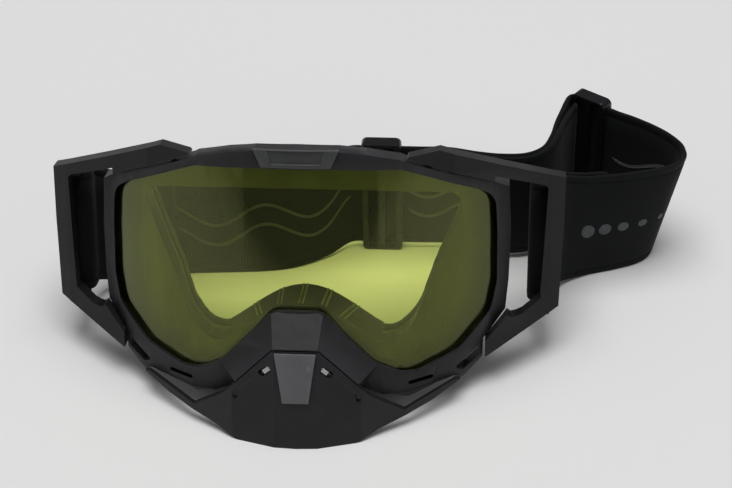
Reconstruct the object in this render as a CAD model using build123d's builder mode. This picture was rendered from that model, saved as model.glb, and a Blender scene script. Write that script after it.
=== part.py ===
from build123d import *
import math
import os

# Motocross goggles, standing on the nose guard and the strap.
# Built upright first: +X to the viewer's right, +Y to the back, +Z up, with the
# front of the brow at y = 0, then leaned back onto the floor.

# Driving dimensions, millimetres and degrees
LENS_R = 100.0            # lens and frame wrap radius
FRAME_DEEP = 9.4          # outer frame, front to back
LENS_IN = 2.6             # lens face behind the frame face
LENS_THICK = 0.9
GROOVE_PLAY = 0.25
PLATE_FRONT = 9.8         # face frame plate
PLATE_BACK = 12.4
WALL_BACK = 23.0          # face frame wall behind the plate
FOAM_BASE_BACK = 27.0
FOAM_RED_BACK = 28.6
FOAM_SKIN_BACK = 35.0
SKIN_IN = 2.6             # skin's outer edge inside the other foam layers'
RED_IN = 1.4              # red layer's inner edge behind the port's
LIP = 1.1                 # plate's edge in front of the port wall
ARM_THICK = 6.6           # outrigger, front to back
PIN_R = 1.0
BAR_R = 1.9               # strap bar behind each outrigger post
BAR_X = 88.0
BAR_Y = 51.5
STRAP_T = 1.8
STRAP_W = 48.0
BUCKLE_LIFT = 2.2         # strap's height above the floor at the buckles
FOLD_LOW = -29.4          # lower edge of the strap where it goes round the bar
GUARD_T = 3.0             # nose guard's wall
LEAN = 19.0               # how far the goggles lean back
FLOOR_Z = -65.2           # floor height under y = 0 before leaning
FLOOR_RISE = math.tan(math.radians(LEAN))

os.makedirs("parts", exist_ok=True)


def mirrored(half):
    """The closed outline that a right-hand half and its mirror image make."""
    return half + [(-x, z) for x, z in reversed(half) if x > 0]


def block(half, grow=0, soft=0, mode=Mode.ADD):
    """Extrudes a symmetric outline, given by its right-hand half, front to back."""
    with BuildSketch(Plane.XZ.offset(60)) as face:
        with BuildLine():
            if soft:
                FilletPolyline(*mirrored(half), radius=soft, close=True)
            else:
                Polyline(*mirrored(half), close=True)
        make_face()
        if grow:
            offset(amount=grow, kind=Kind.INTERSECTION)
    extrude(face.sketch, amount=-160, mode=mode)


def bow(front, back):
    """Keeps what lies between two wrap arcs, front and back mm behind the face."""
    with BuildSketch(Plane.XY.offset(-90)) as face:
        with Locations((0, LENS_R + front)):
            Circle(LENS_R)
        with Locations((0, LENS_R + back)):
            Circle(LENS_R, mode=Mode.SUBTRACT)
    extrude(face.sketch, amount=150, mode=Mode.INTERSECT)


# Outlines, right-hand half, (x, z)
FRAME = [
    (0, 42.8), (15, 42.4), (24.6, 41.1), (36.6, 38.3), (38.2, 37.4), (70.2, 24.6),
    (76.0, 20.6), (77.0, 2), (76.6, -16), (75.6, -27.4), (67.6, -36.4), (67.4, -43.6),
    (60.2, -49.6), (57.0, -48.4), (49.5, -49.8), (40.0, -51.8), (31.0, -51.4),
    (24.0, -48.0), (15.2, -39.6), (9.6, -36.4), (0, -36.4),
]
WINDOW = [
    (13, 36.0), (37, 34.8), (45, 31.7), (64.5, 23.2), (71.0, 19.0), (72.0, 4),
    (72.2, -15), (70.2, -26.0), (58.5, -38.2), (43.4, -44.0), (37.2, -43.6),
    (29.0, -39.4), (16.6, -26.3), (9.6, -18.0),
]
LENS = [
    (13, 37.6), (37.3, 36.0), (45.6, 32.9), (65.4, 24.6), (72.6, 19.9), (74.2, 4),
    (74.4, -15), (72.2, -26.8), (59.6, -39.8), (43.6, -46.2), (36.4, -45.7),
    (27.4, -41.0), (14.8, -27.6), (8.8, -20.2),
]
FACE = [
    (0, 40.4), (15, 39.8), (37.6, 35.9), (69.4, 22.2), (74.6, 18.2), (75.4, 2),
    (75.2, -15), (73.6, -26.2), (63.8, -38.6), (57.4, -50.5), (48.6, -54.5),
    (40.0, -57.5), (31.0, -55.0), (24.0, -47.0), (16.4, -39.0), (10.4, -35.8), (0, -35.8),
]
PORT = [
    (0, 27.2), (24, 26.3), (47, 23.4), (62.2, 20.5), (55.3, 3.8), (51.0, -6.0),
    (47.6, -13.5), (45.6, -20.0), (43.2, -27.0), (39.8, -32.0), (35.5, -35.8),
    (30.4, -36.6), (25.6, -33.9), (19.5, -29.0), (13.6, -24.6), (8.6, -21.8), (4.4, -20.3),
]
FOAM = [
    (0, 36.3), (22, 34.8), (37, 31.2), (59, 27.4), (68.6, 19.6), (62.5, 4.0),
    (57.0, -8.4), (54.2, -27.0), (48.0, -37.5), (37.0, -43.5), (27.0, -43.0),
    (16.5, -35.5), (7.0, -28.4), (0, -27.0),
]
WINDOW_SOFT = 9.0         # corner radii of the outlines
PORT_SOFT = 7.0

# Push-in posts of the nose guard, (x, z)
POSTS = [(-5.6, -33.4), (5.6, -33.4)]
POST_R = 1.2

# Where each outrigger turns: a pin at the tip and one at the foot of the strut
PIN_TOP = (46.5, 16.4, 34.9)
PIN_LOW = (69.6, 30.4, -34.6)


def pin_axis(side):
    """Unit vector down the outrigger's pivot line."""
    run = [side * (PIN_LOW[0] - PIN_TOP[0]), PIN_LOW[1] - PIN_TOP[1], PIN_LOW[2] - PIN_TOP[2]]
    long = math.sqrt(sum(v * v for v in run))
    return tuple(v / long for v in run)


def pin(side, end, up, down, radius, mode=Mode.ADD):
    """A pin along the pivot line, from up mm above the given end to down mm below."""
    a = pin_axis(side)
    start = (side * end[0] - up * a[0], end[1] - up * a[1], end[2] - up * a[2])
    with BuildSketch(Plane(origin=start, x_dir=(0, 1, 0), z_dir=a)) as face:
        Circle(radius)
    extrude(face.sketch, amount=up + down, mode=mode)


def slot(points, tall):
    """Cuts a slanted slot, its ends given as (x, z), right through from the front."""
    (x0, z0), (x1, z1) = points
    long = math.hypot(x1 - x0, z1 - z0)
    turn = math.degrees(math.atan2(z1 - z0, x1 - x0))
    with BuildSketch(Plane.XZ.offset(60)) as face:
        with Locations(Location(((x0 + x1) / 2, (z0 + z1) / 2, 0), (0, 0, turn))):
            SlotOverall(long, tall)
    extrude(face.sketch, amount=-140, mode=Mode.SUBTRACT)


# The goggles lean back about X; the origin is the middle of the guard's resting edge
REST_Y = -7.5
STAND = Location((0, 0, 0), (-LEAN, 0, 0)) * Location((0, -REST_Y, -FLOOR_Z - FLOOR_RISE * REST_Y))

# Outer frame: faceted ring with a lens groove and lower slots
CORNER_SLOT = [(65.6, -39.3), (57.8, -44.9), (58.0, -46.1), (60.4, -46.9), (66.2, -42.9)]
with BuildPart() as outer_frame:
    block(FRAME)
    bow(0, FRAME_DEEP)
    block(WINDOW, soft=WINDOW_SOFT, mode=Mode.SUBTRACT)
    for s in (1, -1):
        slot([(s * 40.2, -48.2), (s * 49.4, -46.8)], 1.5)
        with BuildSketch(Plane.XZ.offset(60)):
            with BuildLine():
                Polyline(*[(s * x, z) for x, z in CORNER_SLOT], close=True)
            make_face()
        extrude(amount=-140, mode=Mode.SUBTRACT)
        pin(s, PIN_TOP, 1.6, 3.0, PIN_R + 0.35, Mode.SUBTRACT)
        pin(s, PIN_LOW, 3.6, 2.4, PIN_R + 0.35, Mode.SUBTRACT)

# Room for the nose guard, a little larger than the guard itself
GUARD = [
    (0, -30.2), (8.6, -30.2), (27.3, -49.2), (39.1, -56.6), (57.6, -48.8), (59.4, -49.3),
    (49.4, -55.0), (39.6, -59.0), (30.0, -62.6), (22.4, -66.8), (13.0, -69.2), (0, -69.6),
]
GUARD_FRONT = [(0, -9.0), (8, -8.6), (24, -4.6), (40, 3.6), (62, 18.0)]
GUARD_GAP = 0.4


def guard_band(front, back):
    """Keeps what lies between the guard's front line and a line behind it."""
    line = [(-x, y) for x, y in reversed(GUARD_FRONT) if x > 0] + GUARD_FRONT
    with BuildSketch(Plane.XY.offset(-90)) as face:
        with BuildLine():
            Polyline(*[(x, y + front) for x, y in line],
                     *[(x, y + back) for x, y in reversed(line)], close=True)
        make_face()
    extrude(face.sketch, amount=150, mode=Mode.INTERSECT)


with BuildPart() as guard_room:
    block(GUARD, grow=GUARD_GAP)
    guard_band(-12, GUARD_T + GUARD_GAP)

# Nose bridge: three facets that come forward from the window's edge to the guard
BRIDGE_ROOT = [(0, -9.7), (10.6, -9.7), (31.0, -38.2), (27.0, -46.5), (9.0, -36.0), (0, -36.0)]
BRIDGE_NOSE = [(0, -29.4), (8.2, -29.4), (20.0, -45.8), (17.0, -47.0), (8.0, -36.0), (0, -36.0)]
with BuildPart() as nose_bridge:
    with BuildSketch(Plane.XZ.offset(-7)):
        with BuildLine():
            Polyline(*mirrored(BRIDGE_ROOT), close=True)
        make_face()
    with BuildSketch(Plane.XZ.offset(8.4)):
        with BuildLine():
            Polyline(*mirrored(BRIDGE_NOSE), close=True)
        make_face()
    loft(ruled=True)
    block(WINDOW, soft=WINDOW_SOFT, mode=Mode.SUBTRACT)
    add(guard_room.part, mode=Mode.SUBTRACT)

# Room for the lens, cut out of the outer frame
with BuildPart() as lens_room:
    block(LENS, grow=GROOVE_PLAY, soft=WINDOW_SOFT)
    bow(LENS_IN - GROOVE_PLAY, LENS_IN + LENS_THICK + GROOVE_PLAY)
with BuildPart() as lens:
    block(LENS, soft=WINDOW_SOFT)
    bow(LENS_IN, LENS_IN + LENS_THICK)
with BuildPart() as frame_ring:
    add(outer_frame.part)
    add(nose_bridge.part)
    add(lens_room.part, mode=Mode.SUBTRACT)
    with BuildSketch(Plane.XZ.offset(60)):
        with Locations(*POSTS):
            Circle(POST_R + 0.3)
    extrude(amount=-68.5, mode=Mode.SUBTRACT)

# Brow badge: a raised trapezoid with a sunken face
with BuildPart() as brow_badge:
    with BuildSketch(Plane.XZ.offset(60)):
        with BuildLine():
            Polyline((-15.4, 43.4), (15.4, 43.4), (12.4, 36.8), (-12.4, 36.8), close=True)
        make_face()
    extrude(amount=-160)
    bow(-1.6, -0.02)
    with BuildSketch(Plane.XZ.offset(60)):
        with BuildLine():
            Polyline((-10.3, 43.0), (10.3, 43.0), (8.8, 38.2), (-8.8, 38.2), close=True)
        make_face()
    extrude(amount=-59.3, mode=Mode.SUBTRACT)

# Face frame: plate that closes the chamber, with a wall round the eye port
with BuildPart() as face_frame:
    block(FACE)
    bow(PLATE_FRONT, PLATE_BACK)
    block(PORT, grow=-LIP, soft=PORT_SOFT, mode=Mode.SUBTRACT)
with BuildPart() as port_wall:
    block(PORT, grow=2.4, soft=PORT_SOFT)
    block(PORT, soft=PORT_SOFT, mode=Mode.SUBTRACT)
    bow(PLATE_BACK, WALL_BACK)


def foam_layer(front, back, shrink=0, open_by=0):
    """One layer of face foam between two wrap arcs."""
    block(FOAM, grow=-shrink, soft=PORT_SOFT)
    bow(front, back)
    block(PORT, grow=open_by, soft=PORT_SOFT, mode=Mode.SUBTRACT)


with BuildPart() as foam_base:
    foam_layer(WALL_BACK, FOAM_BASE_BACK)
with BuildPart() as foam_red:
    foam_layer(FOAM_BASE_BACK, FOAM_RED_BACK, 0, RED_IN)
with BuildPart() as foam_skin:
    foam_layer(FOAM_RED_BACK, FOAM_SKIN_BACK, SKIN_IN)

# Outriggers: flat faceted frames, one each side of the lens
ARM = [
    (39.0, 38.3), (39.6, 39.0), (50.6, 40.4), (97.2, 21.8), (97.0, 2), (95.9, -29.2),
    (68.4, -43.2), (68.3, -37.0), (76.3, -28.0), (77.6, -29.3), (79.4, -29.4), (82.0, -28.8),
    (85.4, -26.6), (88.9, -24.2), (90.6, 19.2), (89.2, 20.6), (70.8, 27.4), (70.4, 25.4),
]
ARM_FRONT = [(37.0, 7.0), (56.0, 15.6), (74.0, 27.4), (92.0, 40.2), (98.6, 45.6)]


def arm(side):
    """The C-shaped outrigger body with its pins and strap bar."""
    with BuildSketch(Plane.XZ.offset(60)) as face:
        with BuildLine():
            Polyline(*[(side * x, z) for x, z in ARM], close=True)
        make_face()
    extrude(face.sketch, amount=-160)
    band = ARM_FRONT + [(x - 1.2, y + ARM_THICK) for x, y in reversed(ARM_FRONT)]
    with BuildSketch(Plane.XY.offset(-90)) as face:
        with BuildLine():
            Polyline(*[(side * x, y) for x, y in band], close=True)
        make_face()
    extrude(face.sketch, amount=150, mode=Mode.INTERSECT)
    with BuildSketch(Plane.XY.offset(FOLD_LOW - 0.3)) as face:
        with Locations((side * 89.6, 47.6)):
            Rectangle(5.6, 11.6)
    extrude(face.sketch, amount=-2.4)
    with BuildSketch(Plane.XY.offset(FOLD_LOW + STRAP_W + 0.3)) as face:
        with Locations((side * 89.6, 47.6)):
            Rectangle(5.6, 11.6)
    extrude(face.sketch, amount=2.0)
    with BuildSketch(Plane.XY.offset(FOLD_LOW - 2)) as face:
        with Locations((side * BAR_X, BAR_Y)):
            Circle(BAR_R)
    extrude(face.sketch, amount=STRAP_W + 4)
    pin(side, PIN_TOP, 2.6, 2.4, PIN_R, Mode.SUBTRACT)
    pin(side, PIN_LOW, 3.1, 3.4, PIN_R, Mode.SUBTRACT)


with BuildPart() as outrigger_right:
    arm(1)
with BuildPart() as outrigger_left:
    arm(-1)

with BuildPart() as pivot_pin_top_right:
    pin(1, PIN_TOP, 2.6, 2.4, PIN_R)
with BuildPart() as pivot_pin_top_left:
    pin(-1, PIN_TOP, 2.6, 2.4, PIN_R)
with BuildPart() as pivot_pin_low_right:
    pin(1, PIN_LOW, 3.1, 3.4, PIN_R)
with BuildPart() as pivot_pin_low_left:
    pin(-1, PIN_LOW, 3.1, 3.4, PIN_R)


# The strap's U round each bar, with the return layer sewn flat behind it
FOLD_IN = BAR_R + 0.35
FOLD_OUT = FOLD_IN + STRAP_T


def fold(side):
    """The strap's U round the bar, open to the back."""
    with BuildSketch(Plane.XY.offset(FOLD_LOW)) as face:
        with Locations((side * BAR_X, BAR_Y)):
            Circle(FOLD_OUT)
            Circle(FOLD_IN, mode=Mode.SUBTRACT)
        with Locations((side * BAR_X, BAR_Y + 5)):
            Rectangle(2 * FOLD_OUT, 10, mode=Mode.SUBTRACT)
        for x in (BAR_X - (FOLD_IN + FOLD_OUT) / 2, BAR_X + (FOLD_IN + FOLD_OUT) / 2):
            with Locations((side * x, BAR_Y + 3)):
                Rectangle(STRAP_T, 6)
    extrude(face.sketch, amount=STRAP_W)


with BuildPart() as strap_fold_right:
    fold(1)
with BuildPart() as strap_fold_left:
    fold(-1)

# The rest of the strap, as it stands on the floor. Each station is the lower edge's
# x, y and height, then how far the upper edge leans out in x and y.
OUT_X = BAR_X + (FOLD_IN + FOLD_OUT) / 2
IN_X = BAR_X - (FOLD_IN + FOLD_OUT) / 2
BAR_END = (STAND * Location((0, BAR_Y + 6.3, FOLD_LOW))).position
BAR_NEXT = (STAND * Location((0, BAR_Y + 9, FOLD_LOW))).position
BAR_LEAN = STRAP_W * math.sin(math.radians(LEAN))
STRAP_LEFT = [
    (-OUT_X, BAR_END.Y, BAR_END.Z, 0, BAR_LEAN),
    (-OUT_X, BAR_NEXT.Y, BAR_NEXT.Z, 0, BAR_LEAN), (-89.5, 83.1, 9.5, 0, 13),
    (-80, 92.6, 3.0, 0, 8.5), (-62, 98.4, 0.2, 0, 4), (-48.6, 100.3, 0, 0, 2),
    (-13, 104.4, 0, 0, 0), (3, 112.6, 0.9, 0, 0), (12, 121.1, BUCKLE_LIFT, 0, 0),
    (22, 121.1, BUCKLE_LIFT, 0, 0),
]
TAIL_LEFT = [
    (-IN_X, BAR_END.Y, BAR_END.Z, 0, BAR_LEAN),
    (-IN_X, BAR_NEXT.Y, BAR_NEXT.Z, 0, BAR_LEAN), (-86.9, 82.0, 9.5, 0, 13),
    (-78.4, 90.6, 3.0, 0, 8.5), (-61.3, 96.1, 0.2, 0, 4), (-55.5, 97.0, 0.1, 0, 3),
]
STRAP_REAR = [
    (28, 121.1, BUCKLE_LIFT, 0, 0), (52, 121.1, BUCKLE_LIFT, 0, 0), (64, 118.5, 2.2, 0, 0),
    (74, 117.4, 2.2, 0, 0), (83, 118.5, 2.2, 0, 0), (89.5, 123.2, 2.2, 0, 0),
    (93, 131.7, 2.2, 0, 0), (95, 141.2, 2.2, 0, 0), (97.4, 150.2, 2.2, 0, 0),
    (99.3, 157.0, 2.2, 0, 0), (100.9, 160.6, 2.2, 0, 0), (102.8, 161.0, 2.2, 0, 0),
    (104.0, 160.13, BUCKLE_LIFT, 0, 0),
]
STRAP_RIGHT = [
    (104.6, 159.71, BUCKLE_LIFT, 0, 0), (120, 148.88, BUCKLE_LIFT, 0, 0),
    (127.0, 143.4, 2, 2.5, 0), (132.0, 137.0, 1.5, 7, 0), (134.8, 130.5, 1, 10, 0),
    (135.2, 123.6, 0.5, 10.7, 0), (133.0, 117.6, 0, 8.5, 0), (128.5, 113.2, 0, 5, 0),
    (120, 109.2, 0, 1.5, 0), (107, 104.2, 0.2, 0, 2), (97.5, 96.8, 2.7, 0, 7.5),
    (93, 86.0, 8.6, 0, 12.5), (OUT_X, BAR_NEXT.Y, BAR_NEXT.Z, 0, BAR_LEAN),
    (OUT_X, BAR_END.Y, BAR_END.Z, 0, BAR_LEAN),
]
TAIL_RIGHT = [
    (117.6, 110.7, 0, 0.6, 0), (105.8, 106.4, 0.2, 0, 2), (95.4, 98.4, 2.7, 0, 7.5),
    (90.6, 86.7, 8.6, 0, 12.5), (IN_X, BAR_NEXT.Y, BAR_NEXT.Z, 0, BAR_LEAN),
    (IN_X, BAR_END.Y, BAR_END.Z, 0, BAR_LEAN),
]


def ribbon(stations):
    """A flat strip on edge, ruled between upright sections across its path."""
    sections = []
    for i, (x, y, low, lean_x, lean_y) in enumerate(stations):
        before = stations[max(i - 1, 0)]
        after = stations[min(i + 1, len(stations) - 1)]
        way = Vector(after[0] - before[0], after[1] - before[1]).normalized()
        up = Vector(lean_x, lean_y, math.sqrt(STRAP_W**2 - lean_x**2 - lean_y**2)).normalized()
        across = way.cross(up).normalized()
        middle = Vector(x, y, low) + up * (STRAP_W / 2)
        with BuildSketch(Plane(origin=middle, x_dir=across, z_dir=across.cross(up))) as face:
            Rectangle(STRAP_T, STRAP_W)
        sections.append(face.sketch)
    loft(sections, ruled=True)


with BuildPart() as strap_left:
    ribbon(STRAP_LEFT)
with BuildPart() as strap_tail_left:
    ribbon(TAIL_LEFT)
with BuildPart() as strap_rear:
    ribbon(STRAP_REAR)
with BuildPart() as strap_right:
    ribbon(STRAP_RIGHT)
with BuildPart() as strap_tail_right:
    ribbon(TAIL_RIGHT)

# Three-bar slide buckles, standing on edge round the strap
BUCKLE_WIDE = 16.0
BUCKLE_BAR = 2.3
BUCKLE_H = STRAP_W + 0.4


def buckle(at, turn):
    """A three-bar slide: an open frame with a middle bar, its slots upright."""
    way = Vector(math.cos(math.radians(turn)), math.sin(math.radians(turn)))
    middle = Vector(*at, BUCKLE_LIFT + STRAP_W / 2)
    side = Plane(origin=middle, x_dir=way, z_dir=way.cross(Vector(0, 0, 1)))
    slot_wide = (BUCKLE_WIDE - 3 * BUCKLE_BAR) / 2
    with BuildSketch(side.offset(-2.9)) as face:
        RectangleRounded(BUCKLE_WIDE, BUCKLE_H + 3.8, 2.4)
    extrude(face.sketch, amount=5.8)
    with BuildSketch(side.offset(-1.4)) as face:
        Rectangle(BUCKLE_WIDE + 4, BUCKLE_H)
    extrude(face.sketch, amount=2.8, mode=Mode.SUBTRACT)
    with BuildSketch(side.offset(-6)) as face:
        with Locations((-(slot_wide + BUCKLE_BAR) / 2, 0), ((slot_wide + BUCKLE_BAR) / 2, 0)):
            RectangleRounded(slot_wide, BUCKLE_H + 1.2, 1.0)
    extrude(face.sketch, amount=12, mode=Mode.SUBTRACT)


with BuildPart() as buckle_left:
    buckle((25, 121.1), 0)
with BuildPart() as buckle_right:
    buckle((109.3, 156.4), -35.11)

# Nose guard: faceted shell over the nose bridge, with thin wings
with BuildPart() as nose_guard:
    block(GUARD)
    guard_band(0, GUARD_T)
    for s in (1, -1):
        slot([(s * 13.4, -39.9), (s * 9.2, -36.75)], 2.6)
        slot([(s * 22.2, -47.0), (s * 22.9, -50.6)], 1.7)
    with BuildSketch(Plane.YZ.offset(-80)):
        with BuildLine():
            Polyline((-40, FLOOR_Z - 40 * FLOOR_RISE), (40, FLOOR_Z + 40 * FLOOR_RISE),
                     (40, -120), (-40, -120), close=True)
        make_face()
    extrude(amount=160, mode=Mode.SUBTRACT)

with BuildPart() as guard_plate:
    with BuildSketch(Plane.XZ.offset(9.9)):
        with BuildLine():
            Polyline((-7.6, -30.6), (7.6, -30.6), (4.8, -50), (-4.8, -50), close=True)
        make_face()
    extrude(amount=-0.9)

# Push-in posts that hold the guard to the nose bridge, and its two clips
with BuildPart() as guard_posts:
    with BuildSketch(Plane.XZ.offset(5.5)):
        with Locations(*POSTS):
            Circle(POST_R)
    extrude(amount=-12.7)
with BuildPart() as guard_clips:
    for s in (1, -1):
        with BuildSketch(Plane.XZ.offset(7.6)):
            with Locations(Location((s * 10.7, -37.88, 0), (0, 0, -s * 36.9))):
                Rectangle(2.6, 1.7)
        extrude(amount=-1.8)


def save(piece, node, place=STAND):
    """Labels a finished piece, puts it in its place and writes it."""
    piece.part.label = node
    placed = piece.part.moved(place)
    placed.label = node
    export_step(placed, f"parts/{node}.step")


save(frame_ring, "outer_frame")
save(lens, "lens")
save(brow_badge, "brow_badge")
save(face_frame, "face_frame")
save(port_wall, "port_wall")
save(foam_base, "foam_base")
save(foam_red, "foam_red")
save(foam_skin, "foam_skin")
save(outrigger_left, "outrigger_left")
save(outrigger_right, "outrigger_right")
save(pivot_pin_top_left, "pivot_pin_top_left")
save(pivot_pin_top_right, "pivot_pin_top_right")
save(pivot_pin_low_left, "pivot_pin_low_left")
save(pivot_pin_low_right, "pivot_pin_low_right")
save(strap_fold_left, "strap_fold_left")
save(strap_fold_right, "strap_fold_right")
save(nose_guard, "nose_guard")
save(guard_plate, "guard_plate")
save(guard_posts, "guard_posts")
save(guard_clips, "guard_clips")

FLOOR = Location((0, 0, 0))
save(strap_left, "strap_left", FLOOR)
save(strap_tail_left, "strap_tail_left", FLOOR)
save(strap_rear, "strap_rear", FLOOR)
save(strap_right, "strap_right", FLOOR)
save(strap_tail_right, "strap_tail_right", FLOOR)
save(buckle_left, "buckle_left", FLOOR)
save(buckle_right, "buckle_right", FLOOR)
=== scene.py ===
import math

import bmesh
import bpy
from mathutils import Matrix, Vector


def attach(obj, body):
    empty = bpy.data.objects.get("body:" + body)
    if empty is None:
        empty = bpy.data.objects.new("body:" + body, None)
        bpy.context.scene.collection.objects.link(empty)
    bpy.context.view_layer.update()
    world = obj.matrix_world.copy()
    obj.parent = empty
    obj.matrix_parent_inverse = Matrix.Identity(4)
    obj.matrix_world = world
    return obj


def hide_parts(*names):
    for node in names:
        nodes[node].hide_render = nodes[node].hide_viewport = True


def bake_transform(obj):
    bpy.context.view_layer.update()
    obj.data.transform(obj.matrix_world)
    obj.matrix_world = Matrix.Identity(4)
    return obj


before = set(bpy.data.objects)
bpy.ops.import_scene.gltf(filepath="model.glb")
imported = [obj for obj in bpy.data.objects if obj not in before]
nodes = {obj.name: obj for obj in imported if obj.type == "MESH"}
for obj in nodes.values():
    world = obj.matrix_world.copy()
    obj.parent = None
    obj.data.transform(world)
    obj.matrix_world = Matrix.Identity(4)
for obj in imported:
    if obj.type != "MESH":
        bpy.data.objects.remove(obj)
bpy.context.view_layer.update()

# The goggles' own upright frame (mm), as it lies in the row frame (m)
LEAN = math.radians(19)
REST_Y, FLOOR_Z = -7.5, -65.2
STAND = (
    Matrix.Rotation(-LEAN, 4, "X")
    @ Matrix.Translation((0, -REST_Y, -FLOOR_Z - math.tan(LEAN) * REST_Y))
)
M = Matrix.Scale(0.001, 4) @ STAND
LENS_R = 100.0


def at(x, y, z):
    """A point of the upright goggles, in millimetres, as a row-frame point."""
    return M @ Vector((x, y, z))


def wrap_y(x, behind):
    """How far back the wrap arc that lies behind mm behind the frame's face is at x."""
    return LENS_R + behind - math.sqrt(LENS_R**2 - x * x)


# ---------------------------------------------------------------- materials
def material(name, color, rough=0.5, metal=0.0, spec=0.5):
    m = bpy.data.materials.new(name)
    m.use_nodes = True
    tree = m.node_tree
    bsdf = tree.nodes["Principled BSDF"]
    bsdf.inputs["Base Color"].default_value = (*color, 1)
    bsdf.inputs["Roughness"].default_value = rough
    bsdf.inputs["Metallic"].default_value = metal
    bsdf.inputs["Specular IOR Level"].default_value = spec
    return m, tree, bsdf


def node(tree, kind, **inputs):
    n = tree.nodes.new(kind)
    for k, v in inputs.items():
        n.inputs[k.replace("_", " ")].default_value = v
    return n


def noise(tree, scale, detail=4.0, rough=0.55, stretch=None):
    coord = node(tree, "ShaderNodeTexCoord")
    n = node(tree, "ShaderNodeTexNoise", Scale=scale, Detail=detail, Roughness=rough)
    source = coord.outputs["Object"]
    if stretch:
        mapping = node(tree, "ShaderNodeMapping")
        mapping.inputs["Scale"].default_value = stretch
        tree.links.new(source, mapping.inputs["Vector"])
        source = mapping.outputs["Vector"]
    tree.links.new(source, n.inputs["Vector"])
    return n


def ramp(tree, source, low, high, c0, c1):
    r = tree.nodes.new("ShaderNodeValToRGB")
    r.color_ramp.elements[0].position = low
    r.color_ramp.elements[1].position = high
    r.color_ramp.elements[0].color = (*c0, 1)
    r.color_ramp.elements[1].color = (*c1, 1)
    tree.links.new(source, r.inputs["Fac"])
    return r


def bump(tree, bsdf, height, strength, distance):
    b = node(tree, "ShaderNodeBump", Strength=strength, Distance=distance)
    tree.links.new(height, b.inputs["Height"])
    tree.links.new(b.outputs["Normal"], bsdf.inputs["Normal"])


def plastic(name, dark, light, rough=(0.42, 0.6), grain=2600, strength=0.25, spec=0.4):
    """Moulded plastic: fine spark-eroded grain, faint mottling, uneven sheen, rubbed edges."""
    m, tree, bsdf = material(name, dark, spec=spec)
    blotch = noise(tree, 60, 5)
    tint = ramp(tree, blotch.outputs["Fac"], 0.35, 0.7, dark, light)
    edge = tree.nodes.new("ShaderNodeNewGeometry")
    worn = ramp(tree, edge.outputs["Pointiness"], 0.53, 0.62, (0, 0, 0), (0.5, 0.5, 0.5))
    rub = node(tree, "ShaderNodeMix")
    rub.data_type = "RGBA"
    tree.links.new(worn.outputs["Color"], rub.inputs[0])
    tree.links.new(tint.outputs["Color"], rub.inputs[6])
    rub.inputs[7].default_value = (*[c * 2.2 for c in light], 1)
    tree.links.new(rub.outputs[2], bsdf.inputs["Base Color"])
    sheen = noise(tree, 220, 3)
    r = node(tree, "ShaderNodeMapRange", To_Min=rough[0], To_Max=rough[1])
    tree.links.new(sheen.outputs["Fac"], r.inputs["Value"])
    tree.links.new(r.outputs["Result"], bsdf.inputs["Roughness"])
    fine = noise(tree, grain, 2)
    bump(tree, bsdf, fine.outputs["Fac"], strength, 0.0002)
    return m


SHELL = plastic("moulded_shell", (0.008, 0.008, 0.009), (0.013, 0.013, 0.015), spec=0.3)
ARM = plastic("moulded_arm", (0.007, 0.007, 0.008), (0.011, 0.011, 0.012), (0.4, 0.52), spec=0.18)
BADGE = plastic("moulded_badge", (0.032, 0.033, 0.034), (0.046, 0.047, 0.048), (0.35, 0.5))
# Inner frame face and port wall: partly their own grey, partly painted light, set lighter to stand
# in for light shining through the translucent inner frame
INNER = plastic("moulded_inner", (0.05, 0.05, 0.05), (0.075, 0.075, 0.073), (0.4, 0.55))
WALL = plastic("moulded_wall", (0.08, 0.08, 0.077), (0.115, 0.115, 0.11), (0.4, 0.55))
GLOSS = plastic(
    "moulded_buckle", (0.005, 0.005, 0.006), (0.009, 0.009, 0.010), (0.22, 0.34), 900, 0.12, 0.3
)


def scratched(name):
    """Satin plate of the nose guard, with a few hair-thin scratches."""
    m, tree, bsdf = material(name, (0.05, 0.05, 0.054), 0.42)
    blotch = noise(tree, 90, 6)
    tint = ramp(tree, blotch.outputs["Fac"], 0.3, 0.7, (0.078, 0.076, 0.082), (0.112, 0.109, 0.118))
    hair = noise(tree, 240, 1, 0.4, (1.0, 0.06, 0.35))
    line = ramp(tree, hair.outputs["Fac"], 0.705, 0.72, (0, 0, 0), (1, 1, 1))
    mix = node(tree, "ShaderNodeMix")
    mix.data_type = "RGBA"
    tree.links.new(line.outputs["Color"], mix.inputs[0])
    tree.links.new(tint.outputs["Color"], mix.inputs[6])
    mix.inputs[7].default_value = (0.12, 0.12, 0.125, 1)
    tree.links.new(mix.outputs[2], bsdf.inputs["Base Color"])
    fine = noise(tree, 1800, 2)
    bump(tree, bsdf, fine.outputs["Fac"], 0.25, 0.0002)
    return m


PLATE = scratched("guard_plate_satin")


def foam(name, dark, light, cell=1500, strength=0.9, fuzz=0.25):
    """Open-cell foam: small dark pits over a soft, mottled ground."""
    m, tree, bsdf = material(name, dark, 0.95, spec=0.1)
    coord = node(tree, "ShaderNodeTexCoord")
    cells = node(tree, "ShaderNodeTexVoronoi", Scale=cell)
    tree.links.new(coord.outputs["Object"], cells.inputs["Vector"])
    tint = ramp(tree, cells.outputs["Distance"], 0.05, 0.6, dark, light)
    tree.links.new(tint.outputs["Color"], bsdf.inputs["Base Color"])
    bump(tree, bsdf, cells.outputs["Distance"], strength, 0.0005)
    bsdf.inputs["Sheen Weight"].default_value = fuzz
    return m


FOAM = foam("open_cell_foam", (0.13, 0.12, 0.11), (0.24, 0.225, 0.20))
FOAM_RED = foam("red_foam", (0.10, 0.008, 0.010), (0.22, 0.02, 0.024))
FLEECE = foam("brushed_fleece", (0.07, 0.065, 0.06), (0.13, 0.12, 0.11), 2600, 0.6, 0.3)
STEEL, tree, bsdf = material("brushed_steel", (0.5, 0.5, 0.51), 0.3, 1.0)
streak = noise(tree, 1800, 2, stretch=(1, 6, 1))
bump(tree, bsdf, streak.outputs["Fac"], 0.2, 0.0001)


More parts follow.
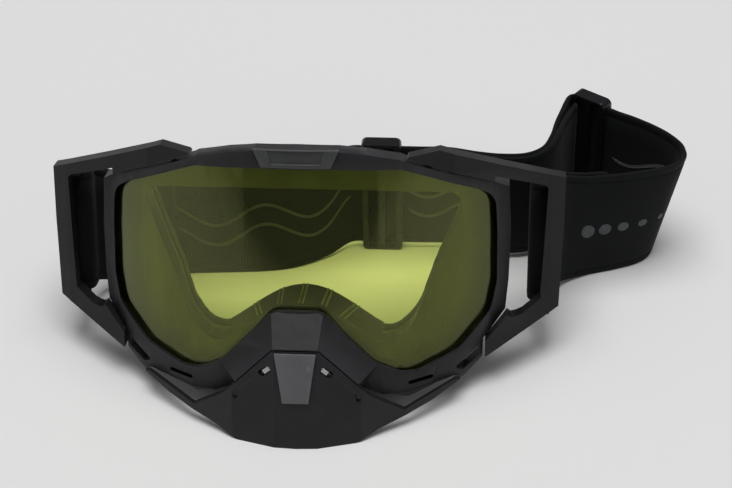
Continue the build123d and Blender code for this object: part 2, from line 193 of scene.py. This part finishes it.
def woven(name, dark, light, across=1.05, along=0.75):
    """Knitted elastic: fine cords along the band, crossed by the weft, over a soft mottle."""
    m, tree, bsdf = material(name, dark, 0.85, spec=0.12)
    uv = node(tree, "ShaderNodeTexCoord")
    waves = []
    for direction, pitch in (("X", across), ("Y", along)):
        wave = node(tree, "ShaderNodeTexWave", Scale=0.31416 / (pitch * 0.001), Distortion=0.6)
        wave.bands_direction = direction
        wave.inputs["Detail"].default_value = 1.0
        wave.inputs["Detail Scale"].default_value = 2.0
        tree.links.new(uv.outputs["UV"], wave.inputs["Vector"])
        waves.append(wave)
    cross = node(tree, "ShaderNodeMath")
    cross.operation = "MULTIPLY"
    tree.links.new(waves[0].outputs["Fac"], cross.inputs[0])
    tree.links.new(waves[1].outputs["Fac"], cross.inputs[1])
    tint = ramp(tree, cross.outputs[0], 0.05, 0.75, dark, light)
    mottle = noise(tree, 45, 4)
    shade = node(tree, "ShaderNodeMapRange", To_Min=0.75, To_Max=1.3)
    tree.links.new(mottle.outputs["Fac"], shade.inputs["Value"])
    mult = node(tree, "ShaderNodeMix")
    mult.data_type = "RGBA"
    mult.blend_type = "MULTIPLY"
    mult.inputs[0].default_value = 1.0
    tree.links.new(tint.outputs["Color"], mult.inputs[6])
    tree.links.new(shade.outputs["Result"], mult.inputs[7])
    tree.links.new(mult.outputs[2], bsdf.inputs["Base Color"])
    bump(tree, bsdf, cross.outputs[0], 0.25, 0.0002)
    bsdf.inputs["Sheen Weight"].default_value = 0.04
    bsdf.inputs["Sheen Roughness"].default_value = 0.5
    return m


WEB = woven("woven_elastic", (0.006, 0.0065, 0.007), (0.0085, 0.0093, 0.010))
THREAD = foam("sewing_thread", (0.02, 0.02, 0.022), (0.05, 0.05, 0.055), 3000, 0.4)
GRIP, tree, bsdf = material("silicone_bead", (0.055, 0.06, 0.058), 0.3)
soft = noise(tree, 700, 3)
bump(tree, bsdf, soft.outputs["Fac"], 0.3, 0.0002)
PRINT, tree, bsdf = material("rubber_print", (0.035, 0.042, 0.044), 0.5)
worn = noise(tree, 1500, 4)
tint = ramp(tree, worn.outputs["Fac"], 0.35, 0.6, (0.02, 0.024, 0.025), (0.045, 0.053, 0.055))
tree.links.new(tint.outputs["Color"], bsdf.inputs["Base Color"])
bump(tree, bsdf, worn.outputs["Fac"], 0.3, 0.0001)

# Tinted lens: green-yellow dye; its index and tinted shine are set for looks, not measured
LENS, tree, bsdf = material("tinted_lens", (0.90, 1.0, 0.27), 0.0)
bsdf.inputs["Transmission Weight"].default_value = 1.0
bsdf.inputs["IOR"].default_value = 1.5
bsdf.inputs["Specular Tint"].default_value = (0.85, 0.87, 0.54, 1)
dye = noise(tree, 9, 3)
tint = ramp(tree, dye.outputs["Fac"], 0.3, 0.7, (0.88, 0.99, 0.25), (0.92, 1.0, 0.29))
tree.links.new(tint.outputs["Color"], bsdf.inputs["Base Color"])

for name, mat in {
    "outer_frame": SHELL, "outrigger_left": ARM, "outrigger_right": ARM,
    "nose_guard": SHELL, "brow_badge": BADGE, "guard_plate": PLATE, "guard_posts": SHELL,
    "guard_clips": STEEL, "face_frame": INNER, "port_wall": WALL, "lens": LENS,
    "pivot_pin_top_left": STEEL, "pivot_pin_top_right": STEEL, "pivot_pin_low_left": STEEL,
    "pivot_pin_low_right": STEEL, "buckle_left": GLOSS, "buckle_right": GLOSS,
}.items():
    mesh = nodes[name].data
    mesh.materials.clear()
    mesh.materials.append(mat)

# Moulded edges: a small round on every sharp edge of the hard parts
for name, width in {
    "outer_frame": 0.35, "outrigger_left": 0.45, "outrigger_right": 0.45, "nose_guard": 0.3,
    "brow_badge": 0.3, "guard_plate": 0.2, "buckle_left": 0.3, "buckle_right": 0.3,
    "face_frame": 0.3, "port_wall": 0.4,
}.items():
    weld = nodes[name].modifiers.new("weld", "WELD")
    weld.merge_threshold = 0.00002
    flat = nodes[name].modifiers.new("flat", "DECIMATE")
    flat.decimate_type = "DISSOLVE"
    flat.angle_limit = math.radians(0.6)
    edge = nodes[name].modifiers.new("edge", "BEVEL")
    edge.width = width * 0.001
    edge.segments = 2
    edge.limit_method = "ANGLE"
    edge.angle_limit = math.radians(14)
    edge.harden_normals = True


# ---------------------------------------------------------------- strap
STRAP_W, STRAP_T = 48.0, 1.7
BAR_X, BAR_Y, FOLD_LOW, TURN_R = 88.0, 51.5, -29.4, 3.15
LIFT = 2.2


def bar_point(x, y):
    """The strap's lower edge beside a bar, with the way its width points."""
    low = at(x, y, FOLD_LOW) * 1000
    high = at(x, y, FOLD_LOW + STRAP_W) * 1000
    return low, high - low


def floor_point(x, y, low, lean_x=0.0, lean_y=0.0):
    """The strap's lower edge near the floor, and how far its upper edge leans."""
    rise = math.sqrt(STRAP_W**2 - lean_x**2 - lean_y**2)
    return Vector((x, y, low)), Vector((lean_x, lean_y, rise))


def turn_round(side, inner_first):
    """The strap's way round a bar, from one leg to the other."""
    legs = [(TURN_R, 5), (TURN_R, 2)]
    bend = [
        (TURN_R * math.cos(a), -TURN_R * math.sin(a))
        for a in (math.radians(d) for d in range(0, 181, 30))
    ]
    path = legs + bend + [(-x, y) for x, y in reversed(legs)]
    points = [bar_point(side * (BAR_X + x), BAR_Y + y) for x, y in path]
    return list(reversed(points)) if inner_first else points


def smooth(points, step=1.4):
    """Catmull-Rom through the stations, as evenly spaced (point, up, along, across)."""
    low = [p for p, up in points]
    ups = [up.normalized() for p, up in points]
    dense = []
    for i in range(len(points) - 1):
        ids = [max(i - 1, 0), i, i + 1, min(i + 2, len(points) - 1)]
        p = [low[k] for k in ids]
        gap = [max((p[k + 1] - p[k]).length, 1e-6) ** 0.5 for k in range(3)]
        if ids[0] == i:
            gap[0] = gap[1]
        if ids[3] == i + 1:
            gap[2] = gap[1]
        m1 = (p[2] - p[1]) + gap[1] * ((p[1] - p[0]) / gap[0] - (p[2] - p[0]) / (gap[0] + gap[1]))
        m2 = (p[2] - p[1]) + gap[1] * ((p[3] - p[2]) / gap[2] - (p[3] - p[1]) / (gap[1] + gap[2]))
        count = max(int((p[2] - p[1]).length / 0.35), 4)
        for k in range(count):
            t = k / count
            h = (2 * t**3 - 3 * t**2 + 1, t**3 - 2 * t**2 + t, -2 * t**3 + 3 * t**2, t**3 - t**2)
            spot = h[0] * p[1] + h[1] * m1 + h[2] * p[2] + h[3] * m2
            dense.append((spot, ups[i].lerp(ups[i + 1], t)))
    dense.append((low[-1], ups[-1]))
    run = [0.0]
    for (a, _), (b, _) in zip(dense, dense[1:]):
        run.append(run[-1] + (b - a).length)
    count = max(int(run[-1] / step), 2)
    frames, k = [], 0
    for i in range(count + 1):
        s = run[-1] * i / count
        while k < len(run) - 2 and run[k + 1] < s:
            k += 1
        t = (s - run[k]) / max(run[k + 1] - run[k], 1e-9)
        along = (dense[k + 1][0] - dense[k][0]).normalized()
        up = dense[k][1].lerp(dense[k + 1][1], t).normalized()
        frames.append([s, dense[k][0].lerp(dense[k + 1][0], t), up, along.cross(up).normalized()])
    return frames


def finish_mesh(name, mesh, mat):
    piece = bpy.data.objects.new(name, mesh)
    bpy.context.collection.objects.link(piece)
    mesh.materials.clear()
    mesh.materials.append(mat)
    for face in mesh.polygons:
        face.use_smooth = True
    return piece


# The band's section: (place across the width, half thickness), mm, lower edge to upper
HALF = STRAP_T / 2
SECTION = [(0.0, 0.0), (0.15, 0.45), (0.5, 0.75), (1.0, HALF), (2.6, HALF), (2.9, HALF - 0.22),
           (3.3, HALF - 0.22), (3.6, HALF)]
BODY = [4.0 + 36.0 * i / 18 for i in range(1, 18)]
SECTION += [(v, HALF) for v in BODY]
SECTION += [(STRAP_W - v, h) for v, h in reversed(SECTION[:8])]


def web(name, points, mat=WEB):
    """A woven band on edge, with rolled selvedges and a groove beside each."""
    frames = smooth(points)
    ring = [(v, h) for v, h in SECTION] + [(v, -h) for v, h in reversed(SECTION[1:-1])]
    mesh = bpy.data.meshes.new(name)
    bm = bmesh.new()
    uv = bm.loops.layers.uv.new("weave")
    rows = []
    for s, p, up, across in frames:
        rows.append([bm.verts.new((p + up * v + across * h) * 0.001) for v, h in ring])
    n = len(ring)
    for i in range(len(rows) - 1):
        s0, s1 = frames[i][0] * 0.001, frames[i + 1][0] * 0.001
        for j in range(n):
            k = (j + 1) % n
            face = bm.faces.new((rows[i][j], rows[i + 1][j], rows[i + 1][k], rows[i][k]))
            for loop, (s, v) in zip(face.loops, (
                (s0, ring[j][0]), (s1, ring[j][0]), (s1, ring[k][0]), (s0, ring[k][0]),
            )):
                loop[uv].uv = (s, v * 0.001)
    bm.faces.new(list(reversed(rows[0])))
    bm.faces.new(rows[-1])
    bmesh.ops.recalc_face_normals(bm, faces=bm.faces)
    bm.to_mesh(mesh)
    bm.free()
    piece = finish_mesh(name, mesh, mat)
    return piece, frames


def frame_at(frames, s):
    """The band's place, up and across at a length s along it."""
    step = frames[1][0] - frames[0][0]
    i = min(max(int(s / step), 0), len(frames) - 2)
    t = min(max((s - frames[i][0]) / step, 0), 1)
    a, b = frames[i], frames[i + 1]
    return a[1].lerp(b[1], t), a[2].lerp(b[2], t).normalized(), a[3].lerp(b[3], t).normalized()


def bead(name, frames, route, side, wide, tall, mat):
    """A low rounded bead laid on one face of a band along route [(s, v), ...]."""
    mesh = bpy.data.meshes.new(name)
    bm = bmesh.new()
    rows = []
    shape = [
        (-0.5, -0.2), (-0.46, 0.5), (-0.25, 0.9), (0, 1.0), (0.25, 0.9), (0.46, 0.5), (0.5, -0.2),
    ]
    for i, (s, v) in enumerate(route):
        s0, v0 = route[max(i - 1, 0)]
        s1, v1 = route[min(i + 1, len(route) - 1)]
        long = math.hypot(s1 - s0, v1 - v0)
        ds, dv = (s1 - s0) / long, (v1 - v0) / long
        row = []
        taper = min(1.0, 0.25 + 0.5 * min(i, len(route) - 1 - i))
        for a, h in shape:
            p, up, across = frame_at(frames, s - dv * a * wide * taper)
            q = p + up * (v + ds * a * wide * taper) + across * side * (HALF + h * tall)
            row.append(bm.verts.new(q * 0.001))
        rows.append(row)
    for a, b in zip(rows, rows[1:]):
        for j in range(len(shape) - 1):
            bm.faces.new((a[j], b[j], b[j + 1], a[j + 1]))
        bm.faces.new((a[-1], b[-1], b[0], a[0]))
    bm.faces.new(rows[0])
    bm.faces.new(list(reversed(rows[-1])))
    bmesh.ops.recalc_face_normals(bm, faces=bm.faces)
    bm.to_mesh(mesh)
    bm.free()
    piece = finish_mesh(name, mesh, mat)
    return piece


def join(name, pieces):
    """Several pieces of one material, as one mesh."""
    first = pieces[0]
    bm = bmesh.new()
    for piece in pieces:
        bm.from_mesh(piece.data)
    bm.to_mesh(first.data)
    bm.free()
    for face in first.data.polygons:
        face.use_smooth = True
    for piece in pieces[1:]:
        bpy.data.objects.remove(piece)
    first.name = name
    return first


# Where the bands meet inside the buckles: shared ends, so no slit shows as a buckle slides
LEFT_JOIN, RIGHT_JOIN = (26.15, 121.1), (104.55, 159.745)

LEFT = [
    floor_point(-55.5, 97.0, 0.1, 0, 3), floor_point(-61.3, 96.1, 0.2, 0, 4),
    floor_point(-78.4, 90.6, 3.0, 0, 8.5), floor_point(-86.4, 82.0, 9.5, 0, 13),
    *turn_round(-1, True),
    floor_point(-89.5, 83.1, 9.5, 0, 13), floor_point(-80, 92.6, 3.0, 0, 8.5),
    floor_point(-62, 98.4, 0.2, 0, 4), floor_point(-48.6, 100.3, 0, 0, 2),
    floor_point(-13, 104.4, 0, 0, 0), floor_point(3, 112.6, 0.9), floor_point(12, 120.4, LIFT),
    floor_point(19, 121.1, LIFT), floor_point(*LEFT_JOIN, LIFT),
]
REAR = [
    floor_point(*LEFT_JOIN, LIFT), floor_point(40, 121.1, LIFT), floor_point(52, 121.1, LIFT),
    floor_point(64, 118.5, 2.2), floor_point(74, 117.4, 2.2), floor_point(83, 118.5, 2.2),
    floor_point(89.5, 123.2, 2.2), floor_point(93, 131.7, 2.2), floor_point(95, 141.2, 2.2),
    floor_point(97.4, 150.2, 2.2), floor_point(99.3, 157.0, 2.2), floor_point(100.7, 160.3, 2.2),
    floor_point(102.6, 161.1, LIFT), floor_point(*RIGHT_JOIN, LIFT),
]
RIGHT = [
    floor_point(*RIGHT_JOIN, LIFT), floor_point(112, 154.5, LIFT), floor_point(120, 148.88, LIFT),
    floor_point(127, 143.4, 2, 2.5),
    floor_point(132, 137, 1.5, 7), floor_point(134.8, 130.5, 1, 10),
    floor_point(135.2, 123.6, 0.5, 10.7), floor_point(133, 117.6, 0, 8.5),
    floor_point(128.5, 113.2, 0, 5), floor_point(120, 109.2, 0, 1.5),
    floor_point(107, 104.2, 0.2, 0, 2), floor_point(97.5, 96.8, 2.7, 0, 7.5),
    floor_point(93, 86.0, 8.6, 0, 12.5),
    *turn_round(1, False),
    floor_point(90.2, 86.7, 8.6, 0, 12.5), floor_point(95.4, 98.4, 2.7, 0, 7.5),
    floor_point(105.8, 106.6, 0.2, 0, 2), floor_point(114, 109.6, 0, 0.4, 0),
]
# The band's spare end, which runs back along the inside from the right buckle
RETURN = [
    floor_point(66, 116.2, 2.2), floor_point(74, 115.2, 2.2), floor_point(84.4, 116.4, 2.4),
    floor_point(91.6, 122.2, 3.0), floor_point(95.3, 131.0, 3.8), floor_point(97.6, 140.6, 3.0),
    floor_point(99.9, 148.6, 1.5), floor_point(101.6, 153.2, 1.0), floor_point(103.0, 155.4, 1.6),
]

web_left, left_frames = web("web_left", LEFT)
web_rear, rear_frames = web("web_rear", REAR)
web_return, return_frames = web("web_return", RETURN)
web_right, right_frames = web("web_right", RIGHT)
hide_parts("strap_left", "strap_tail_left", "strap_fold_left")
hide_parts("strap_rear")
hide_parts("strap_right", "strap_tail_right", "strap_fold_right")


def arc_to(frames, x, y):
    """The length along a band at its nearest sample to a place on the floor."""
    return min(frames, key=lambda f: (f[1].x - x) ** 2 + (f[1].y - y) ** 2)[0]


def wavy(name, frames, start, end, side, phase, middle):
    """The two parallel silicone lines that wave along the band's inner face."""
    pieces = []
    for lift in (-4.75, 4.75):
        count = int((end - start) / 1.2)
        route = [
            (s, middle + lift + 5.0 * math.sin(2 * math.pi * s / 40 + phase))
            for s in (start + (end - start) * i / count for i in range(count + 1))
        ]
        pieces.append(bead(name + str(lift), frames, route, side, 1.3, 0.3, GRIP))
    return join(name, pieces)


left_outer = max(f[0] for f in left_frames if f[1].x < -62)
left_all = left_frames[-1][0]
lines_left = wavy("grip_lines_left", left_frames, left_outer - 8, left_all - 14, 1, 2.1, 24)
lines_rear = wavy("grip_lines_rear", rear_frames, 9, rear_frames[-1][0] - 10, 1, 2.0, 24)
right_end = arc_to(right_frames, 110, 105.2)
lines_right = wavy("grip_lines_right", right_frames, 18, right_end, 1, 1.1, 24)


def stitches(name, frames, rows, side):
    """Short raised stitches: rows of (s, v, ds, dv)."""
    pieces = []
    for i, (s, v, ds, dv) in enumerate(rows):
        route = [(s + ds * t, v + dv * t) for t in (0, 0.25, 0.5, 0.75, 1)]
        pieces.append(bead(f"{name}{i}", frames, route, side, 0.55, 0.28, THREAD))
    return join(name, pieces)


def zigzag(s, low, high, wide, pitch):
    """A tight zigzag seam across the band at length s, as rows for stitches."""
    rows, v, sign = [], low, 1
    while v < high:
        rows.append((s - sign * wide / 2, v, sign * wide, pitch))
        v += pitch
        sign = -sign
    return rows


SEAM_LOW, SEAM_HIGH, SEAM_WIDE, SEAM_PITCH = 2.5, 45.0, 2.4, 1.3
seam_l = left_outer - 20
seam_r = min(f[0] for f in right_frames if f[1].y < 92)
left_rows = zigzag(seam_l, SEAM_LOW, SEAM_HIGH, SEAM_WIDE, SEAM_PITCH)
right_rows = zigzag(seam_r, SEAM_LOW, SEAM_HIGH, SEAM_WIDE, SEAM_PITCH)
sewn_left = stitches("seam_left", left_frames, left_rows, 1)
sewn_left_back = stitches("seam_left_out", left_frames, left_rows, -1)
sewn_right = stitches("seam_right", right_frames, right_rows, -1)


def disc(name, frames, s, v, side, radius, tall, mat):
    """A flat printed dot that follows the band's face."""
    mesh = bpy.data.meshes.new(name)
    bm = bmesh.new()
    rings = [(0.6, tall), (0.93, tall), (1.0, tall * 0.4), (1.0, -0.1)]
    turns = 40
    rows = []
    for r, h in rings:
        row = []
        for k in range(turns):
            a = 2 * math.pi * k / turns
            p, up, across = frame_at(frames, s + r * radius * math.cos(a))
            q = p + up * (v + r * radius * math.sin(a)) + across * side * (HALF + h)
            row.append(bm.verts.new(q * 0.001))
        rows.append(row)
    p, up, across = frame_at(frames, s)
    top = bm.verts.new((p + up * v + across * side * (HALF + tall)) * 0.001)
    for k in range(turns):
        bm.faces.new((top, rows[0][k], rows[0][(k + 1) % turns]))
    for a, b in zip(rows, rows[1:]):
        for k in range(turns):
            bm.faces.new((a[k], b[k], b[(k + 1) % turns], a[(k + 1) % turns]))
    bmesh.ops.recalc_face_normals(bm, faces=bm.faces)
    bm.to_mesh(mesh)
    bm.free()
    piece = finish_mesh(name, mesh, mat)
    return piece


# A generic print on the outer face: a row of dots that grow smaller
mark_at = min(f[0] for f in right_frames if f[1].y < 104.6)
dots = [
    disc(f"dot{i}", right_frames, mark_at - 7.2 * i, 22, -1, 3.0 - 0.45 * i, 0.12, PRINT)
    for i in range(5)
]
print_dots = join("print_dots", dots)

# The strap crosses each outrigger's pivot: the side bands, their lines and seams are baked in
# place, the rear band, spare end and rear lines go with the frame
for piece in (web_left, lines_left, sewn_left, sewn_left_back):
    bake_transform(piece)
for piece in (web_right, lines_right, sewn_right, print_dots):
    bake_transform(piece)
for piece in (web_rear, web_return, lines_rear):
    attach(piece, "goggle_body")


# ---------------------------------------------------------------- face foam
def soft_layer(name, node_name, mat, voxel, rounds, lumps):
    """A foam layer: the CAD ring remeshed, rounded over and slightly lumpy."""
    source = nodes[node_name]
    mesh = source.data.copy()
    piece = bpy.data.objects.new(name, mesh)
    bpy.context.collection.objects.link(piece)
    mesh.materials.clear()
    mesh.materials.append(mat)
    remesh = piece.modifiers.new("remesh", "REMESH")
    remesh.mode = "VOXEL"
    remesh.voxel_size = voxel
    relax = piece.modifiers.new("relax", "SMOOTH")
    relax.factor = 0.6
    relax.iterations = rounds
    cloud = bpy.data.textures.new(name + "_lumps", "CLOUDS")
    cloud.noise_scale = 0.007
    lump = piece.modifiers.new("lump", "DISPLACE")
    lump.texture = cloud
    lump.strength = lumps
    lump.mid_level = 0.6
    shape = piece.evaluated_get(bpy.context.evaluated_depsgraph_get())
    done = bpy.data.meshes.new_from_object(shape)
    piece.modifiers.clear()
    piece.data = done
    for face in done.polygons:
        face.use_smooth = True
    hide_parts(node_name)
    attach(piece, "goggle_body")
    return piece


soft_layer("foam_base_pad", "foam_base", FOAM, 0.0008, 2, 0.0002)
soft_layer("foam_red_pad", "foam_red", FOAM_RED, 0.0005, 1, 0.0001)
soft_layer("foam_skin_pad", "foam_skin", FLEECE, 0.0008, 9, 0.0009)


# ---------------------------------------------------------------- inside the frame
ARCH = [
    (30.4, -36.6), (25.6, -33.9), (19.5, -29.0), (13.6, -24.6), (8.6, -21.8), (4.4, -20.3),
    (0, -19.9),
]
ARCH_RIBS = (0, 8.6, -8.6, 16.8, -16.8)


def arch_height(x):
    """The port's lower edge over the nose, rounded, at a distance x from the middle."""
    line = list(reversed(ARCH))
    x = min(abs(x), 30.3)
    total = 0.0
    for shift in (-4.0, -2.0, 0.0, 2.0, 4.0):
        q = min(abs(x + shift), 30.3)
        for (x0, z0), (x1, z1) in zip(line, line[1:]):
            if x0 <= q <= x1:
                total += z0 + (z1 - z0) * (q - x0) / (x1 - x0)
                break
    return total / 5


def nose_arch():
    """The ribbed rubber saddle over the nose: a thin sheet with raised ribs, front to back."""
    bm = bmesh.new()
    xs = [-29.2 + 0.4 * i for i in range(147)]
    depths = [9.9, 11, 13, 16, 19, 22, 25, 28, 31, 33.5, 35.0, 35.6]
    top, low = [], []
    for d in depths:
        edge = 0.55 if d > 35 else 0.0
        row_top, row_low = [], []
        for x in xs:
            sink = 0.9 * max(0.0, (abs(x) - 22) / 7.2) ** 2
            z = arch_height(x) + 0.45 - edge - sink
            row_top.append(bm.verts.new(at(x, wrap_y(x, d), z)))
            row_low.append(bm.verts.new(at(x, wrap_y(x, d), arch_height(x) - 0.7)))
        top.append(row_top)
        low.append(row_low)
    n = len(xs)
    for rows in (top, low):
        for a, b in zip(rows, rows[1:]):
            for i in range(n - 1):
                bm.faces.new((a[i], a[i + 1], b[i + 1], b[i]))
    for a, b in ((top[0], low[0]), (top[-1], low[-1])):
        for i in range(n - 1):
            bm.faces.new((a[i], a[i + 1], b[i + 1], b[i]))
    for i in (0, n - 1):
        for k in range(len(depths) - 1):
            bm.faces.new((top[k][i], top[k + 1][i], low[k + 1][i], low[k][i]))
    bmesh.ops.recalc_face_normals(bm, faces=bm.faces)
    mesh = bpy.data.meshes.new("nose_arch")
    bm.to_mesh(mesh)
    bm.free()
    return finish_mesh("nose_arch", mesh, ARCH_RUBBER)


def arch_rib(x, lean):
    """A narrow double rib over the arch, front to back."""
    pieces = []
    for offset in (-0.75, 0.75):
        bm = bmesh.new()
        rows = []
        for k in range(21):
            d = 10.2 + 24.6 * k / 20
            middle = x + offset + lean * (d - 22)
            row = []
            for a, h in ((-0.34, 0.2), (-0.26, 0.78), (0, 0.95), (0.26, 0.78), (0.34, 0.2)):
                rib_x = middle + a
                row.append(bm.verts.new(at(rib_x, wrap_y(rib_x, d), arch_height(rib_x) + h)))
            rows.append(row)
        for a, b in zip(rows, rows[1:]):
            for j in range(len(a)):
                k = (j + 1) % len(a)
                bm.faces.new((a[j], b[j], b[k], a[k]))
        bm.faces.new(rows[0])
        bm.faces.new(list(reversed(rows[-1])))
        bmesh.ops.recalc_face_normals(bm, faces=bm.faces)
        mesh = bpy.data.meshes.new("rib")
        bm.to_mesh(mesh)
        bm.free()
        pieces.append(finish_mesh("rib", mesh, RIB_RUBBER))
    return join("rib", pieces)


ARCH_RUBBER = plastic(
    "ribbed_rubber", (0.02, 0.02, 0.019), (0.05, 0.05, 0.045), (0.3, 0.5), 900, 0.8
)
# The ribs are coloured far lighter than the rubber saddle they stand on
RIB_RUBBER = foam("pale_rib", (0.06, 0.06, 0.055), (0.40, 0.40, 0.36), 1100, 0.5, 0.0)
arch = nose_arch()
ribs = join("arch_ribs", [arch_rib(x, 0.0007 * x * abs(x)) for x in ARCH_RIBS])
for piece in (arch, ribs):
    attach(piece, "goggle_body")

# ---------------------------------------------------------------- stage, light, camera
bpy.ops.mesh.primitive_plane_add(size=8)
floor = bpy.context.object
floor.name = "floor"
FLOOR, tree, bsdf = material("paper_floor", (0.78, 0.78, 0.775), 0.9, spec=0.05)
floor.data.materials.append(FLOOR)

world = bpy.data.worlds.new("studio")
bpy.context.scene.world = world
world.use_nodes = True
sky = world.node_tree.nodes["Background"]
sky.inputs["Color"].default_value = (0.96, 0.97, 1.0, 1)
sky.inputs["Strength"].default_value = 0.18


def area_light(name, place, target, size, power):
    data = bpy.data.lights.new(name, "AREA")
    data.shape = "RECTANGLE"
    data.size, data.size_y = size
    data.energy = power
    lamp = bpy.data.objects.new(name, data)
    bpy.context.collection.objects.link(lamp)
    lamp.location = place
    lamp.rotation_euler = (Vector(target) - Vector(place)).to_track_quat("-Z", "Y").to_euler()


area_light("softbox_top", (0.0, 0.10, 2.4), (0, 0.1, 0), (1.7, 1.7), 48)


def side_panel(name, turn, wide, tall, power):
    """A white panel at a bearing from the front, seen in the lens's shine."""
    a = math.radians(turn)
    place = (1.4 * math.sin(a), 0.06 - 1.4 * math.cos(a), 0.30)
    area_light(name, place, (0, 0.06, 0.06), (wide, tall), power)


for side in (1, -1):
    side_panel(f"panel_wide{side}", side * 66, 0.75, 0.7, 2.2)
    side_panel(f"panel_front{side}", side * 36, 0.36, 0.7, 0.14)

YAW, RISE, ROLL = math.radians(-3.77), math.radians(19.0), math.radians(0.17)
CAMERA_AT = (25.0, -720.0, 7.75)
SENSOR, FOCAL_SHARE = 36, 2000 / 732
turn = (
    Matrix.Rotation(ROLL, 4, "Y") @ Matrix.Rotation(RISE, 4, "X") @ Matrix.Rotation(YAW, 4, "Z")
).inverted()
look = turn @ Matrix.Rotation(math.radians(90), 4, "X")
place = turn @ Vector(CAMERA_AT)
camera = bpy.data.objects.new("camera", bpy.data.cameras.new("camera"))
bpy.context.collection.objects.link(camera)
camera.matrix_world = Matrix.Translation(at(*place)) @ (
    Matrix.Rotation(-LEAN, 4, "X") @ look
)
camera.data.sensor_width = SENSOR
camera.data.lens = SENSOR * FOCAL_SHARE
camera.data.clip_start = 0.05
bpy.context.scene.camera = camera
bpy.context.scene.view_settings.view_transform = "Standard"
